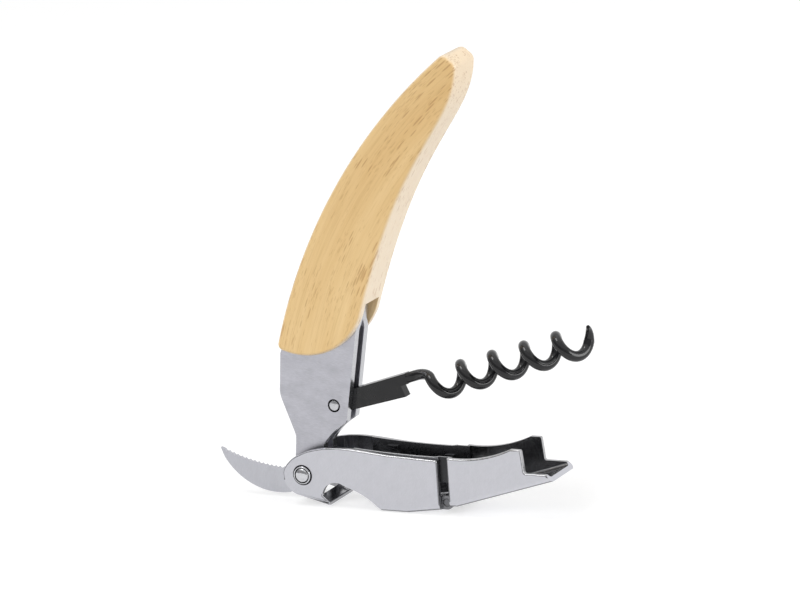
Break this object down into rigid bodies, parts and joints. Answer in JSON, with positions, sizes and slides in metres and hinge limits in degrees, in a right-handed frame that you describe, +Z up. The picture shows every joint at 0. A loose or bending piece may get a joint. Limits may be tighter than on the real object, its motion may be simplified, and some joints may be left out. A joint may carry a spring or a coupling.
{
  "type": "lever corkscrew",
  "caption": "Folding double-lever corkscrew: wooden grip, steel frame, black worm, serrated foil knife and a hinged two-step lever with a cap notch.",
  "frame": {"origin": "middle of the flat foot under the first lever, on the surface that the tool stands on", "axes": "+Z up, +X from the lever pivot towards the worm's point, Y across the tool"},
  "size_m": [0.1047, 0.0154, 0.1167],
  "materials": {
    "beech": "satin",
    "brushed_plate": "brushed",
    "brushed_sheet": "brushed",
    "polished_steel": "polished",
    "plain_steel": "satin",
    "black_coating": "satin",
    "blade_steel": "brushed",
    "spring_steel": "satin"
  },
  "bodies": {
    "handle": {"wooden_handle": "beech", "frame_plate_near": "brushed_plate", "frame_plate_far": "brushed_plate", "tang_rivet_back": "plain_steel", "tang_rivet_front": "plain_steel", "worm_pin": "plain_steel", "lever_rivet": "polished_steel", "lever_washer_near": "plain_steel", "lever_washer_far": "plain_steel", "knife_washer_near": "plain_steel", "knife_washer_far": "plain_steel"},
    "worm": {"worm": "black_coating"},
    "knife": {"foil_knife": "blade_steel"},
    "first_lever": {"first_lever": "brushed_sheet", "channel_spring": "spring_steel", "spring_rivet": "plain_steel", "hinge_pin": "plain_steel"},
    "second_lever": {"second_lever": "brushed_sheet"}
  },
  "joints": [
    {"name": "lever_pivot", "type": "hinge", "parent": "handle", "child": "first_lever", "pos_m": [-0.0251, 0, 0.008], "axis": [0, -1, 0], "range_deg": [-48, 52]},
    {"name": "worm_pivot", "type": "hinge", "parent": "handle", "child": "worm", "pos_m": [-0.0164, 0, 0.0257], "axis": [0, -1, 0], "range_deg": [-40, 44]},
    {"name": "lever_hinge", "type": "hinge", "parent": "first_lever", "child": "second_lever", "pos_m": [0.0141, 0, 0.0031], "axis": [0, -1, 0], "range_deg": [-95, 0]},
    {"name": "knife_pivot", "type": "hinge", "parent": "handle", "child": "knife", "pos_m": [-0.0251, 0, 0.008], "axis": [0, -1, 0], "range_deg": [-85, 0]}
  ],
  "couplings": [
    {"joint": "worm_pivot", "follows": "lever_pivot", "ratio": 0.833}
  ]
}
